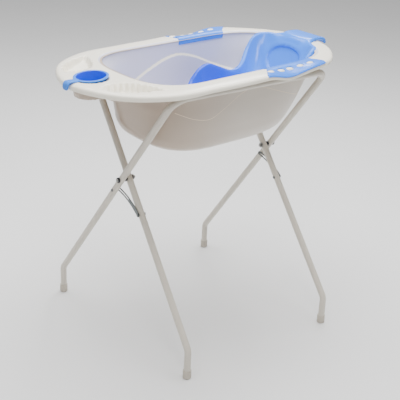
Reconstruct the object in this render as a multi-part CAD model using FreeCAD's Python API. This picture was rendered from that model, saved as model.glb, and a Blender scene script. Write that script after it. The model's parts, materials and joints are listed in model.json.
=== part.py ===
import FreeCAD, Part
import math
import os

# Baby bathtub on a folding X stand: tub, grips, seat insert, rinse cup, drain and stand.
# Frame: origin on the floor under the middle of the bounding box, +X to the head end,
# +Y to the far side, +Z up. All lengths in millimetres, all angles in degrees.

V = FreeCAD.Vector
ORIGIN = V(0, 0, 0)
X_AXIS = V(1, 0, 0)
Y_AXIS = V(0, 1, 0)
Z_AXIS = V(0, 0, 1)
SIDES = (("left", -1), ("right", 1))
FAR = 1000.0            # beyond the object in every direction

# Fits
RUN_GAP = 0.05          # radial gap of a pin that turns in its hole
FACE_GAP = 0.25         # gap between faces that turn against each other
PIN_GAP = 0.4           # gap between a slot pin's end and the stay
SHELL_GAP = 0.4         # gap between plastic parts that clip over each other
LIFT_GAP = 1.0          # side gap of parts that lift out

# Stand
STAND_X = 15.0          # the stand's middle, along the tub
TUB_X = -16.0           # how far the level tub's outlines shift along X
TUBE_R = 11.0
TUBE_WALL = 1.2
RAIL_Y = 245.0          # half distance between the two top rails
RAIL_Z = 880.0
PIVOT_Z = 555.0
FOOT_BEND_Z = 98.0
RAIL_BEND = 50.0
FOOT_BEND = 32.0
OUTER_TOP = 307.0       # half width of the outer frame at the rail and at the feet
OUTER_FOOT = 327.0
INNER_TOP = 281.0
INNER_FOOT = 297.0
TUBE_END_Z = 5.0
CAP_R = 13.4
CAP_HEIGHT = 28.0
CAP_ROUND = 4.0

# Pivot hardware
BOLT_R = 3.0
BOLT_HEAD_R = 5.5
BOLT_HEAD = 3.5
SOCKET_R = 2.4
RING_R = 9.0            # saddle rings between the tubes and the bolt heads and nuts
RING_WIDTH = 4.0
NUT_ACROSS = 10.0
NUT_WIDTH = 5.0

# Stays
STAY_RIVET_DROP = 123.0  # along the inner leg, below the pivot
STAY_PIN_DROP = 58.0     # along the outer leg, below the pivot
STAY_THICK = 2.4
STAY_HALF = 7.0
STAY_BULGE = 8.0
SLOT_HALF = 3.2
SLOT_TRAVEL = 56.0
RIVET_R = 2.5
RIVET_HEAD_R = 5.0
RIVET_HEAD = 1.8

# Tub, drawn level and then tilted about the Y axis by RIM_TILT at RIM_Z
RIM_Z = 910.5
RIM_TILT = 1.35
WALL = 4.0
SKIRT = 18.0            # how far the outer lip hangs below the rim face
RIM_OUTLINE = (         # (x, half width) from the foot end to the head end
    (-475, 0), (-450, 106), (-404, 184), (-288, 257), (-119, 273), (31, 275), (181, 277),
    (291, 270), (368, 234), (405, 202), (440, 162), (470, 112), (487, 0),
)
BASIN_LEVELS = (        # (z below the rim, foot x, head x, half width) of the inside
    (0, -296, 421, 208), (50, -264, 398, 206), (110, -254, 366, 205),
    (165, -247, 328, 204), (200, -240, 302, 198), (220, -228, 287, 182), (234, -202, 262, 152),
)
BASIN_POWER = (2.8, 2.9)     # how square the basin's ends are, at the rim and at the floor
FOOT_ROUND = (0.85, 1.05)    # length of the rounded foot end, in half widths, at the rim and at the floor
HEAD_ROUND = (1.22, 1.6)
BASIN_RISE = 20.0       # how far the basin's cutting solid reaches above the rim
SADDLE_X = (-150, 200)  # ribs under the rim that sit on the two rails
SADDLE_WIDTH = 8.0
SADDLE_BITE = 4.0

# Rinse cup and its well in the foot shelf
CUP_X = -397.0
CUP_R = 46.0
CUP_FOOT_R = 39.0
CUP_DEPTH = 46.0
CUP_WALL = 2.5
CUP_RIM = 7.0
CUP_RIM_THICK = 3.5
HANDLE_HALF = 14.0
HANDLE_THICK = 4.0
HANDLE_END_X = -488.0
HANDLE_SHOULDER = 8.0    # from the handle's end to where it turns down
HANDLE_RISE = 2.0
HANDLE_DROP = 22.0
DISH_DEPTH = 22.0       # soap dishes beside the cup
DISH_TIP = (-431, 98)
DISH_ANGLE = 38.6
DISH_INNER = ((0, 0), (44, 58), (92, 56), (140, 30), (172, 4))   # (along, towards the basin) from the tip
DISH_OUTER = ((122, -24), (86, -34), (46, -30))
DISH_MIDDLE = (86, 12)
DISH_HALF = (80, 32)

# Drain
DRAIN_X = -60.0
DRAIN_HOLE_R = 16.0
DRAIN_BORE_R = 12.0
DRAIN_FLANGE_R = 24.0
DRAIN_FLANGE = 2.5
DRAIN_LENGTH = 30.0
DRAIN_NUT_R = 23.0
DRAIN_NUT = 9.0
SEAL_THICK = 2.0

# Hand grips
GRIP_START = 58.0
GRIP_END = 306.0
GRIP_THICK = 3.5
GRIP_LIP_IN = 20.0
GRIP_LIP_OUT = 9.0
GRIP_HOLES = (87, 131, 168, 212, 254)
HOLE_Y = 247.0
HOLE_LONG = 14.0
HOLE_SHORT = 9.5
BOSS_GAP = 0.6

# Seat insert: (x, z below the rim, lean of the face, half width, rise of the edges)
SEAT_STATIONS = (
    (55, -150, -32, 88, 30), (90, -190, -24, 94, 86), (129, -213, -10, 95, 128),
    (210, -219, 8, 90, 110), (276, -194, 28, 98, 88), (322, -152, 42, 124, 82),
    (362, -98, 56, 122, 60), (390, -48, 64, 94, 26), (411, -4, 66, 62, 6),
)
SEAT_THICK = 4.0
HOOK_HALF = 55.0
HOOK_TOP = 7.0          # height of the hook's top face above the rim
HOOK_BEND_X = 458.0      # where the hook's flat top starts to slope down
HOOK_LIP_X = 511.0
HOOK_LIP_TOP = 2.0
HOOK_END_X = 519.0
HOOK_DROP = 22.0


def extruded(wire, height):
    """Solid of a flat wire pushed up along Z (down when the height is negative)."""
    return Part.Face(wire).extrude(V(0, 0, height))


def cylinder_x(radius, x_start, x_end, y, z):
    """Cylinder along the X axis."""
    start = V(min(x_start, x_end), y, z)
    return Part.makeCylinder(radius, abs(x_end - x_start), start, X_AXIS)


def bent_wire(points, radii):
    """Polyline whose inner corners are rounded by tangent arcs."""
    edges = []
    start = points[0]
    for index, radius in enumerate(radii, 1):
        corner = points[index]
        back = (points[index - 1] - corner).normalize()
        ahead = (points[index + 1] - corner).normalize()
        half_turn = back.getAngle(ahead) / 2
        cut = radius / math.tan(half_turn)
        middle = corner + (back + ahead).normalize() * (radius / math.sin(half_turn) - radius)
        first = corner + back * cut
        last = corner + ahead * cut
        edges.append(Part.LineSegment(start, first).toShape())
        edges.append(Part.Arc(first, middle, last).toShape())
        start = last
    edges.append(Part.LineSegment(start, points[-1]).toShape())
    return Part.Wire(edges)


def swept(wire, radius, start, direction):
    """Round bar of the given radius along a wire."""
    ring = Part.Wire(Part.makeCircle(radius, start, direction))
    return wire.makePipeShell([ring], True, False)


def leg_x(top, foot, z):
    """Distance of a leg's centre line from the stand's middle at height z."""
    return top + (foot - top) * (RAIL_Z - z) / (RAIL_Z - FOOT_BEND_Z)


def frame_tube(top, foot, near):
    """U-shaped tube: rail across the top, two sloping legs and upright feet."""
    foot_y = RAIL_Y * (PIVOT_Z - FOOT_BEND_Z) / (RAIL_Z - PIVOT_Z)
    corners = []
    for side, z, y in ((-1, TUBE_END_Z, -foot_y), (-1, FOOT_BEND_Z, -foot_y), (-1, RAIL_Z, RAIL_Y),
                       (1, RAIL_Z, RAIL_Y), (1, FOOT_BEND_Z, -foot_y), (1, TUBE_END_Z, -foot_y)):
        half = top if z == RAIL_Z else foot
        corners.append(V(STAND_X + side * half, near * y, z))
    path = bent_wire(corners, (FOOT_BEND, RAIL_BEND, RAIL_BEND, FOOT_BEND))
    outside = swept(path, TUBE_R, corners[0], Z_AXIS)
    inside = swept(path, TUBE_R - TUBE_WALL, corners[0], Z_AXIS)
    tube = outside.cut(inside)
    for _, side in SIDES:
        middle = STAND_X + side * leg_x(top, foot, PIVOT_Z)
        hole = cylinder_x(BOLT_R + RUN_GAP, middle - 2 * TUBE_R, middle + 2 * TUBE_R, 0, PIVOT_Z)
        tube = tube.cut(hole)
    return tube


def foot_cap(x, y):
    """Rubber cap pushed onto the end of a foot."""
    body = Part.makeCylinder(CAP_R, CAP_HEIGHT, V(x, y, 0))
    low_edges = [edge for edge in body.Edges if edge.BoundBox.ZMax < 1]
    body = body.makeFillet(CAP_ROUND, low_edges)
    return body.cut(Part.makeCylinder(TUBE_R, CAP_HEIGHT, V(x, y, TUBE_END_Z)))


def leg_point(drop, near):
    """(y, z) on a leg's centre line, a given distance below the pivot."""
    length = math.hypot(RAIL_Y, RAIL_Z - PIVOT_Z)
    return -near * drop * RAIL_Y / length, PIVOT_Z - drop * (RAIL_Z - PIVOT_Z) / length


def pivot_faces(side):
    """X of the outer leg's outside, the gap's two sides and the inner leg's inside."""
    outer = leg_x(OUTER_TOP, OUTER_FOOT, PIVOT_Z)
    inner = leg_x(INNER_TOP, INNER_FOOT, PIVOT_Z)
    places = (outer + TUBE_R, outer - TUBE_R, inner + TUBE_R, inner - TUBE_R)
    return [STAND_X + side * place for place in places]


def washer(x_start, x_end):
    """Plain ring round the pivot bolt."""
    ring = cylinder_x(RING_R, x_start, x_end, 0, PIVOT_Z)
    return ring.cut(cylinder_x(BOLT_R, x_start, x_end, 0, PIVOT_Z))


def pivot_set(side):
    """Bolt, nut, spacer and rings of one pivot, from the outside to the inside."""
    outside, gap_out, gap_in, inside = pivot_faces(side)
    head_x = outside + side * RING_WIDTH
    nut_x = inside - side * RING_WIDTH
    end_x = nut_x - side * (NUT_WIDTH + 2)
    bolt = cylinder_x(BOLT_R, head_x, end_x, 0, PIVOT_Z)
    bolt = bolt.fuse(cylinder_x(BOLT_HEAD_R, head_x, head_x + side * BOLT_HEAD, 0, PIVOT_Z))
    socket_x = head_x + side * BOLT_HEAD
    bolt = bolt.cut(cylinder_x(SOCKET_R, socket_x, socket_x - side * BOLT_HEAD * 0.6, 0, PIVOT_Z))
    nut = hexagon_x(NUT_ACROSS, nut_x, nut_x - side * NUT_WIDTH)
    nut = nut.cut(cylinder_x(BOLT_R, nut_x + side, nut_x - side * (NUT_WIDTH + 1), 0, PIVOT_Z))
    return {
        "pivot_bolt": bolt,
        "pivot_nut": nut,
        "pivot_spacer": washer(gap_out - side * FACE_GAP, gap_in + side * FACE_GAP),
        "pivot_ring": washer(outside + side * FACE_GAP, head_x),
        "pivot_washer": washer(inside - side * FACE_GAP, nut_x),
    }


def hexagon_x(across, x_start, x_end):
    """Hexagonal bar along X on the pivot axis."""
    corner = across / 2 / math.cos(math.pi / 6)
    turns = [math.radians(60 * step) for step in range(7)]
    points = [V(x_start, corner * math.cos(a), PIVOT_Z + corner * math.sin(a)) for a in turns]
    return Part.Face(Part.makePolygon(points)).extrude(V(x_end - x_start, 0, 0))


def stay_plane(side):
    """X of the stay's face towards the inner leg and of its face towards the outer leg."""
    inner_face = leg_x(INNER_TOP, INNER_FOOT, PIVOT_Z - STAY_RIVET_DROP) + TUBE_R + FACE_GAP
    return STAND_X + side * inner_face, STAND_X + side * (inner_face + STAY_THICK)


def curved_bar(length, half, first, last):
    """Flat bar bent to a shallow arc through (0, 0) and (length, 0) in its own plane.
    The bar runs from distance first to distance last and has round ends."""
    radius = (length ** 2 / 4 + STAY_BULGE ** 2) / (2 * STAY_BULGE)
    centre = V(length / 2, STAY_BULGE - radius, 0)

    def on_arc(distance, offset):
        reach = (distance - length / 2) / radius
        return centre + V(math.sin(reach), math.cos(reach), 0) * (radius + offset)

    middle = (first + last) / 2
    edges = [
        Part.Arc(on_arc(first, half), on_arc(middle, half), on_arc(last, half)),
        Part.Arc(on_arc(last, half), on_arc(last + half, 0), on_arc(last, -half)),
        Part.Arc(on_arc(last, -half), on_arc(middle, -half), on_arc(first, -half)),
        Part.Arc(on_arc(first, -half), on_arc(first - half, 0), on_arc(first, half)),
    ]
    wire = Part.Wire([edge.toShape() for edge in edges])
    return Part.Face(wire).extrude(V(0, 0, STAY_THICK))


def stay_arm(side):
    """Slotted steel stay between the two legs of one side."""
    rivet_y, rivet_z = leg_point(STAY_RIVET_DROP, 1)
    pin_y, pin_z = leg_point(STAY_PIN_DROP, -1)
    length = math.hypot(pin_y - rivet_y, pin_z - rivet_z)
    bar = curved_bar(length, STAY_HALF, 0, length)
    slot = curved_bar(length, SLOT_HALF, length - SLOT_TRAVEL, length)
    hole = Part.makeCylinder(RIVET_R + RUN_GAP, STAY_THICK)
    bar = bar.cut(slot).cut(hole)
    # Local x runs from the rivet to the pin, local y is up, local z is along X.
    turn = math.degrees(math.atan2(pin_z - rivet_z, pin_y - rivet_y))
    bar.rotate(ORIGIN, V(1, 1, 1), 120)
    bar.rotate(ORIGIN, X_AXIS, turn)
    near_face, far_face = stay_plane(side)
    bar.translate(V(min(near_face, far_face), rivet_y, rivet_z))
    return bar


def stay_rivet(side):
    """Rivet through the inner leg that the stay turns on."""
    y, z = leg_point(STAY_RIVET_DROP, 1)
    near_face, far_face = stay_plane(side)
    inside = STAND_X + side * (leg_x(INNER_TOP, INNER_FOOT, z) - TUBE_R - FACE_GAP / 2)
    head_x = far_face + side * FACE_GAP
    body = cylinder_x(RIVET_R, inside, head_x, y, z)
    body = body.fuse(cylinder_x(RIVET_HEAD_R, head_x, head_x + side * RIVET_HEAD, y, z))
    return body.fuse(cylinder_x(RIVET_HEAD_R, inside, inside - side * RIVET_HEAD, y, z))


def stay_pin(side):
    """Pin through the outer leg that the stay's slot runs along."""
    y, z = leg_point(STAY_PIN_DROP, -1)
    _, far_face = stay_plane(side)
    outside = STAND_X + side * (leg_x(OUTER_TOP, OUTER_FOOT, z) + TUBE_R + FACE_GAP / 2)
    body = cylinder_x(RIVET_R, far_face + side * PIN_GAP, outside, y, z)
    return body.fuse(cylinder_x(RIVET_HEAD_R, outside, outside + side * RIVET_HEAD, y, z))


def drilled(tube, side, y, z, x_middle):
    """Tube with a rivet hole across it."""
    reach = 2 * TUBE_R
    return tube.cut(cylinder_x(RIVET_R, x_middle - reach, x_middle + reach, y, z))


def stand_parts():
    """Both frames with their caps, pivots and stays."""
    parts = {}
    outer = frame_tube(OUTER_TOP, OUTER_FOOT, -1)
    inner = frame_tube(INNER_TOP, INNER_FOOT, 1)
    foot_y = RAIL_Y * (PIVOT_Z - FOOT_BEND_Z) / (RAIL_Z - PIVOT_Z)
    for name, side in SIDES:
        parts["foot_cap_outer_" + name] = foot_cap(STAND_X + side * OUTER_FOOT, foot_y)
        parts["foot_cap_inner_" + name] = foot_cap(STAND_X + side * INNER_FOOT, -foot_y)
        for piece, shape in pivot_set(side).items():
            parts[piece + "_" + name] = shape
        parts["stay_arm_" + name] = stay_arm(side)
        parts["stay_rivet_" + name] = stay_rivet(side)
        parts["stay_pin_" + name] = stay_pin(side)
        pin_y, pin_z = leg_point(STAY_PIN_DROP, -1)
        rivet_y, rivet_z = leg_point(STAY_RIVET_DROP, 1)
        outer = drilled(outer, side, pin_y, pin_z, STAND_X + side * OUTER_TOP)
        inner = drilled(inner, side, rivet_y, rivet_z, STAND_X + side * INNER_TOP)
    parts["outer_frame_tube"] = outer
    parts["inner_frame_tube"] = inner
    return parts


def closed_spline(points):
    """Smooth closed wire through points of one half outline, mirrored in y."""
    other = [V(p.x, -p.y, p.z) for p in reversed(points[1:-1])]
    curve = Part.BSplineCurve()
    curve.interpolate(Points=points + other, PeriodicFlag=True)
    return Part.Wire(curve.toShape())


def rim_wire(grow, z):
    """Outline of the rim's edge, moved out by grow."""
    middle = (RIM_OUTLINE[0][0] + RIM_OUTLINE[-1][0]) / 2
    half_length = RIM_OUTLINE[-1][0] - middle
    half_width = max(half for _, half in RIM_OUTLINE)
    points = []
    for x, half in RIM_OUTLINE:
        wide = half * (1 + grow / half_width)
        points.append(V(middle + (x - middle) * (1 + grow / half_length), wide, z))
    return closed_spline(points)


def between(pair, depth):
    """Value at a depth of the basin, from its values at the rim and at the floor."""
    share = max(0, depth) / BASIN_LEVELS[-1][0]
    return pair[0] + (pair[1] - pair[0]) * share


def basin_wire(level, grow):
    """Rounded basin outline at one level, moved out by grow."""
    depth, foot_x, head_x, half = level
    power = between(BASIN_POWER, depth)
    round_foot = foot_x + half * between(FOOT_ROUND, depth)
    round_head = head_x - half * between(HEAD_ROUND, depth)
    half += grow
    points = []
    for step in range(9):
        turn = math.pi * step / 8
        wide = abs(math.sin(turn)) ** (2 / power)
        along = abs(math.cos(turn)) ** (2 / power)
        if turn <= math.pi / 2:
            x = round_foot - (round_foot - foot_x + grow) * along
        else:
            x = round_head + (head_x + grow - round_head) * along
        if step == 4:
            points.append(V(round_foot, half, -depth))
            x = round_head
        points.append(V(x, half * wide, -depth))
    return closed_spline(points)


def basin_solid(grow):
    """Solid that fills the basin and rises a little above the rim.
    A positive grow moves its sides and floor outwards, and stops it at the rim's face."""
    levels = [(-BASIN_RISE,) + BASIN_LEVELS[0][1:]] + list(BASIN_LEVELS)
    wires = [basin_wire(level, grow) for level in levels]
    loft = Part.makeLoft(wires, True, True)
    if grow <= 0:
        return loft
    loft = loft.fuse(extruded(wires[-1], -grow))
    return loft.cut(Part.makeBox(2 * FAR, 2 * FAR, FAR, V(-FAR, -FAR, 0)))


def oval(x, y, long, short, z, height, angle):
    """Oval block, long axis turned by angle from X."""
    curve = Part.Ellipse(ORIGIN, long, short).toShape()
    block = Part.Face(Part.Wire(curve)).extrude(V(0, 0, height))
    block.rotate(ORIGIN, Z_AXIS, angle)
    block.translate(V(x, y, z))
    return block


def rim_ring():
    """Flat rim with the lip that hangs from its outer edge."""
    top = extruded(rim_wire(0, -WALL), WALL)
    lip = extruded(rim_wire(0, -SKIRT), SKIRT).cut(extruded(rim_wire(-WALL, -SKIRT), SKIRT))
    return top.fuse(lip)


def soap_dish(side, grow):
    """Shell-shaped pocket in the foot shelf."""
    angle = math.radians(DISH_ANGLE)
    points = []
    for along, inward in DISH_INNER + DISH_OUTER:
        along += (along - DISH_MIDDLE[0]) * grow / DISH_HALF[0]
        inward += (inward - DISH_MIDDLE[1]) * grow / DISH_HALF[1]
        x = DISH_TIP[0] + along * math.cos(angle) + inward * math.sin(angle)
        y = DISH_TIP[1] + along * math.sin(angle) - inward * math.cos(angle)
        points.append(V(x, side * y, 0))
    curve = Part.BSplineCurve()
    curve.interpolate(Points=points, PeriodicFlag=True)
    return extruded(Part.Wire(curve.toShape()), -DISH_DEPTH - grow)


def saddle_rib(x, side):
    """Rib under the rim that rests on a rail."""
    rail_top = (RAIL_Z + TUBE_R) - (RIM_Z + x * math.tan(math.radians(RIM_TILT)))
    low = rail_top - SADDLE_BITE
    inner_y = BASIN_LEVELS[0][3] + WALL - 2
    width = RAIL_Y + 8 - inner_y
    rib = Part.makeBox(SADDLE_WIDTH, width, -WALL - low, V(x - SADDLE_WIDTH / 2, inner_y, low))
    rail = cylinder_x(TUBE_R + 0.3, x - 20, x + 20, RAIL_Y, rail_top - TUBE_R)
    rib = rib.cut(rail)
    return rib if side > 0 else rib.mirror(ORIGIN, Y_AXIS)


def tub_shell():
    """Moulded tub: rim, basin, cup well, soap dishes, rail saddles and grip bosses."""
    solid = rim_ring().fuse(basin_solid(WALL))
    well_r = CUP_R + LIFT_GAP
    well_depth = CUP_DEPTH + LIFT_GAP
    solid = solid.fuse(Part.makeCylinder(well_r + WALL, well_depth + WALL, V(CUP_X, 0, -well_depth - WALL)))
    for _, side in SIDES:
        solid = solid.fuse(soap_dish(side, WALL))
        for x in SADDLE_X:
            solid = solid.fuse(saddle_rib(x, side))
        for x in GRIP_HOLES:
            long = HOLE_LONG - BOSS_GAP
            short = HOLE_SHORT - BOSS_GAP
            solid = solid.fuse(oval(x, side * HOLE_Y, long, short, -1, GRIP_THICK + 0.5, 0))
    solid = solid.cut(basin_solid(0))
    solid = solid.cut(Part.makeCylinder(well_r, well_depth, V(CUP_X, 0, -well_depth)))
    for _, side in SIDES:
        solid = solid.cut(soap_dish(side, 0))
    drain = Part.makeCylinder(DRAIN_HOLE_R, 4 * WALL, V(DRAIN_X, 0, floor_z() - 2 * WALL))
    return solid.cut(drain).removeSplitter()


def floor_z():
    """Inside floor of the basin, below the rim."""
    return -BASIN_LEVELS[-1][0]


def drain_parts():
    """Outlet with its flange inside the tub, seal and nut below the floor, and the plug."""
    inside = floor_z()
    below = inside - WALL
    outlet = Part.makeCylinder(DRAIN_FLANGE_R, DRAIN_FLANGE, V(DRAIN_X, 0, inside))
    outlet = outlet.fuse(Part.makeCylinder(DRAIN_HOLE_R, DRAIN_LENGTH, V(DRAIN_X, 0, inside - DRAIN_LENGTH)))
    bore = Part.makeCylinder(DRAIN_BORE_R, DRAIN_LENGTH + 10, V(DRAIN_X, 0, inside - DRAIN_LENGTH - 1))
    seal_z = below - SEAL_THICK
    seal = Part.makeCylinder(DRAIN_NUT_R, SEAL_THICK, V(DRAIN_X, 0, seal_z))
    nut = Part.makeCylinder(DRAIN_NUT_R, DRAIN_NUT, V(DRAIN_X, 0, seal_z - DRAIN_NUT))
    spigot = Part.makeCylinder(DRAIN_HOLE_R, 4 * DRAIN_LENGTH, V(DRAIN_X, 0, inside - 3 * DRAIN_LENGTH))
    stopper = Part.makeCylinder(DRAIN_BORE_R - 0.2, 14, V(DRAIN_X, 0, inside - 11))
    top_z = inside + DRAIN_FLANGE
    disc = Part.makeCylinder(DRAIN_BORE_R + 5, 3, V(DRAIN_X, 0, top_z + 0.1))
    tab = Part.makeCylinder(7, 4, V(DRAIN_X, 2, top_z + 9), Y_AXIS)
    tab = tab.cut(Part.makeCylinder(3.5, 6, V(DRAIN_X, 1, top_z + 9), Y_AXIS))
    tab.translate(V(0, -4, 0))
    return {
        "drain_outlet": outlet.cut(bore),
        "drain_seal": seal.cut(spigot),
        "drain_nut": nut.cut(spigot),
        "drain_plug": stopper.fuse(disc).fuse(tab),
    }


def hand_grip(side):
    """Soft grip clipped over the rim, with five oval holes for the rim's bosses."""
    gap = SHELL_GAP
    skin = gap + GRIP_THICK
    outside = extruded(rim_wire(skin, -GRIP_LIP_IN), GRIP_LIP_IN + GRIP_THICK)
    keep_out = extruded(rim_wire(gap, -GRIP_LIP_IN - 1), GRIP_LIP_IN + 1)
    inner_wall = basin_solid(-gap)
    hollow = basin_solid(-skin)
    below_lip = Part.makeBox(2 * FAR, 2 * FAR, FAR, V(-FAR, -FAR, -GRIP_LIP_OUT - FAR))
    outer_only = below_lip.cut(extruded(rim_wire(gap, -FAR), FAR))
    grip = outside.cut(keep_out.cut(inner_wall)).cut(hollow).cut(outer_only)
    half_box = Part.makeBox(GRIP_END - GRIP_START, FAR, FAR, V(GRIP_START, 0, -FAR / 2))
    if side < 0:
        half_box = half_box.mirror(ORIGIN, Y_AXIS)
    grip = grip.common(half_box)
    for x in GRIP_HOLES:
        grip = grip.cut(oval(x, side * HOLE_Y, HOLE_LONG, HOLE_SHORT, -1, GRIP_THICK + 5, 0))
    return grip


def rinse_cup():
    """Cup with a rim that rests on the shelf and a handle that hooks over the tub's edge."""
    outside = Part.makeCone(CUP_FOOT_R, CUP_R, CUP_DEPTH, V(CUP_X, 0, -CUP_DEPTH))
    rim = Part.makeCylinder(CUP_R + CUP_RIM, CUP_RIM_THICK, V(CUP_X, 0, SHELL_GAP))
    neck = Part.makeCylinder(CUP_R, SHELL_GAP + CUP_RIM_THICK, V(CUP_X, 0, 0))
    inside = Part.makeCone(CUP_FOOT_R - CUP_WALL, CUP_R - CUP_WALL, CUP_DEPTH, V(CUP_X, 0, CUP_WALL - CUP_DEPTH))
    mouth = Part.makeCylinder(CUP_R - CUP_WALL, 20, V(CUP_X, 0, CUP_WALL))
    return outside.fuse(rim).fuse(neck).fuse(cup_handle()).cut(inside.fuse(mouth))


def cup_handle():
    """Strap from the cup's rim over the tub's edge."""
    top = SHELL_GAP + CUP_RIM_THICK
    start = V(CUP_X - CUP_R - CUP_WALL, -HANDLE_HALF, top)
    shoulder_x = HANDLE_END_X + HANDLE_SHOULDER
    crest = top + HANDLE_RISE
    outline = [
        V(start.x, -HANDLE_HALF, SHELL_GAP),
        start,
        V(shoulder_x, -HANDLE_HALF, crest),
        V(HANDLE_END_X, -HANDLE_HALF, top - HANDLE_DROP),
        V(HANDLE_END_X + HANDLE_THICK, -HANDLE_HALF, top - HANDLE_DROP),
        V(shoulder_x + 2, -HANDLE_HALF, crest - HANDLE_THICK),
    ]
    face = Part.Face(Part.makePolygon(outline + outline[:1]))
    return face.extrude(V(0, 2 * HANDLE_HALF, 0))


def seat_section(station):
    """Crescent outline across the seat at one station."""
    x, z, lean, half, rise = station
    angle = math.radians(lean)
    up = V(-math.sin(angle), 0, math.cos(angle))
    middle = V(x, 0, z)
    edge = middle + up * rise
    tip_left = edge + V(0, -half, 0)
    tip_right = edge + V(0, half, 0)
    under = middle - up * SEAT_THICK
    low_left = tip_left + V(0, -SEAT_THICK * 0.7, 0) - up * SEAT_THICK * 0.7
    low_right = tip_right + V(0, SEAT_THICK * 0.7, 0) - up * SEAT_THICK * 0.7
    edges = [
        Part.Arc(tip_left, middle, tip_right),
        Part.LineSegment(tip_right, low_right),
        Part.Arc(low_right, under, low_left),
        Part.LineSegment(low_left, tip_left),
    ]
    return Part.Wire([edge.toShape() for edge in edges])


def seat_hook():
    """Broad hook from the top of the backrest over the head end of the rim."""
    start_x = SEAT_STATIONS[-1][0]
    low = HOOK_TOP - SEAT_THICK
    lip_low = HOOK_TOP - HOOK_DROP
    outline = [
        V(start_x - 6, -HOOK_HALF, -10), V(start_x - 4, -HOOK_HALF, HOOK_TOP - 3),
        V(start_x + 4, -HOOK_HALF, HOOK_TOP), V(HOOK_BEND_X, -HOOK_HALF, HOOK_TOP),
        V(HOOK_LIP_X, -HOOK_HALF, HOOK_LIP_TOP), V(HOOK_END_X, -HOOK_HALF, lip_low),
        V(HOOK_END_X - SEAT_THICK, -HOOK_HALF, lip_low),
        V(HOOK_LIP_X - SEAT_THICK, -HOOK_HALF, HOOK_LIP_TOP - SEAT_THICK + 1),
        V(HOOK_BEND_X, -HOOK_HALF, low), V(start_x + 4, -HOOK_HALF, low),
        V(start_x, -HOOK_HALF, -10),
    ]
    face = Part.Face(Part.makePolygon(outline + outline[:1]))
    return face.extrude(V(0, 2 * HOOK_HALF, 0))


def bath_seat():
    """Dished seat insert, hooked over the head end of the rim."""
    sections = [seat_section(station) for station in SEAT_STATIONS]
    return Part.makeLoft(sections, True, False).fuse(seat_hook())


def tub_parts():
    """Everything that stays with the tub, still level."""
    parts = {"tub_shell": tub_shell(), "rinse_cup": rinse_cup(), "bath_seat": bath_seat()}
    parts["grip_near"] = hand_grip(-1)
    parts["grip_far"] = hand_grip(1)
    parts.update(drain_parts())
    return parts


def set_on_stand(shape):
    """Tilt a level tub part and lift it onto the stand."""
    placed = shape.copy()
    placed.rotate(ORIGIN, Y_AXIS, -RIM_TILT)
    placed.translate(V(TUB_X, 0, RIM_Z))
    return placed


def main():
    os.makedirs("parts", exist_ok=True)
    parts = stand_parts()
    for name, shape in tub_parts().items():
        parts[name] = set_on_stand(shape)
    whole = FreeCAD.BoundBox()
    for name, shape in sorted(parts.items()):
        shape.exportStep("parts/" + name + ".step")
        whole.add(shape.BoundBox)
        print(name, "solids", len(shape.Solids), "valid", shape.isValid(), "volume", round(shape.Volume))
    print("box", whole)


main()
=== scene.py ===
import bpy
import math
import numpy as np
from mathutils import Matrix, Vector
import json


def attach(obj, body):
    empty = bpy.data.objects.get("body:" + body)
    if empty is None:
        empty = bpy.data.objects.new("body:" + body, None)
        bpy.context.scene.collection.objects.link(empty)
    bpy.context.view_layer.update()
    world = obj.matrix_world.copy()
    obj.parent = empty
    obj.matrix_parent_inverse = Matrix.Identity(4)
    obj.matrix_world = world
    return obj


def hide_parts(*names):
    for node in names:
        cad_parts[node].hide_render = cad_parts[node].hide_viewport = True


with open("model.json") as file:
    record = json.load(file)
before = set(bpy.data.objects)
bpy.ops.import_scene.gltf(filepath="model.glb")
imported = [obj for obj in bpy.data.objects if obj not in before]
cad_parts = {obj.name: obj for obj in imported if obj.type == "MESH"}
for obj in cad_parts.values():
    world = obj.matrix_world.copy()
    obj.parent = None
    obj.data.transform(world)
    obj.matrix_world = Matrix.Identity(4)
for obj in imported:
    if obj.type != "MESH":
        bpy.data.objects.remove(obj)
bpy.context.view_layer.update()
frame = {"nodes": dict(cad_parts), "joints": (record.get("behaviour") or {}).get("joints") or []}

MM = 0.001

# The tub is drawn level, with its rim at z = 0, then tilted and set on the stand.
TILT = math.asin(-next(j for j in frame["joints"] if j["name"] == "seat_lift")["axis"][0])
RIM_Z = 0.9105
TUB_X = -0.016
WALL = 0.004
SKIRT = 0.017
SHOULDER = 0.009        # rounding of the rim's outer edge
INNER_ROLL = 0.011      # rounding from the rim into the basin
COLUMNS = 220           # samples along each half of the tub's outline
WALL_ROWS = 104         # samples down the basin's wall
RIM_ROWS = 62           # samples across the rim

# Half outlines as (x, half width) in millimetres, from the foot end to the head end.
RIM_OUTLINE = ((-475, 0), (-450, 106), (-404, 184), (-288, 257), (-119, 273), (31, 275), (181, 277),
               (291, 270), (368, 234), (405, 202), (440, 162), (470, 112), (487, 0))
# Inside of the basin: (depth, foot x, head x, half width) in millimetres.
BASIN_LEVELS = ((0, -296, 421, 208), (50, -264, 398, 206), (110, -254, 366, 205), (165, -247, 328, 204),
                (200, -240, 302, 198), (220, -228, 287, 182), (231, -212, 272, 164))
FLOOR_DEPTH = 0.234
BASIN_POWER = (2.8, 2.9)    # how square the basin's ends are, at the rim and at the floor
FOOT_ROUND = (0.85, 1.05)   # length of the rounded foot end, in half widths
HEAD_ROUND = (1.22, 1.6)

# Raised line pressed into both long walls: (x, depth) in millimetres.
WAVE = ((-260, 165), (-200, 150), (-137, 127), (-40, 78), (30, 52), (75, 46), (140, 60), (230, 100),
        (310, 126), (390, 120))
LEDGE = 0.006           # how far the wall steps in below the line
LEDGE_HEIGHT = 0.007    # height over which it steps in
# Fine line on the outside of the long walls: (x, depth) in millimetres.
OUTER_LINE = ((-215, 97), (-160, 119), (-112, 124), (-58, 100), (14, 62), (50, 54), (86, 58), (164, 84),
              (248, 114), (305, 130))
LINE_HALF = 0.0013      # half width of the fine line
LINE_STEPS = 160

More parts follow.
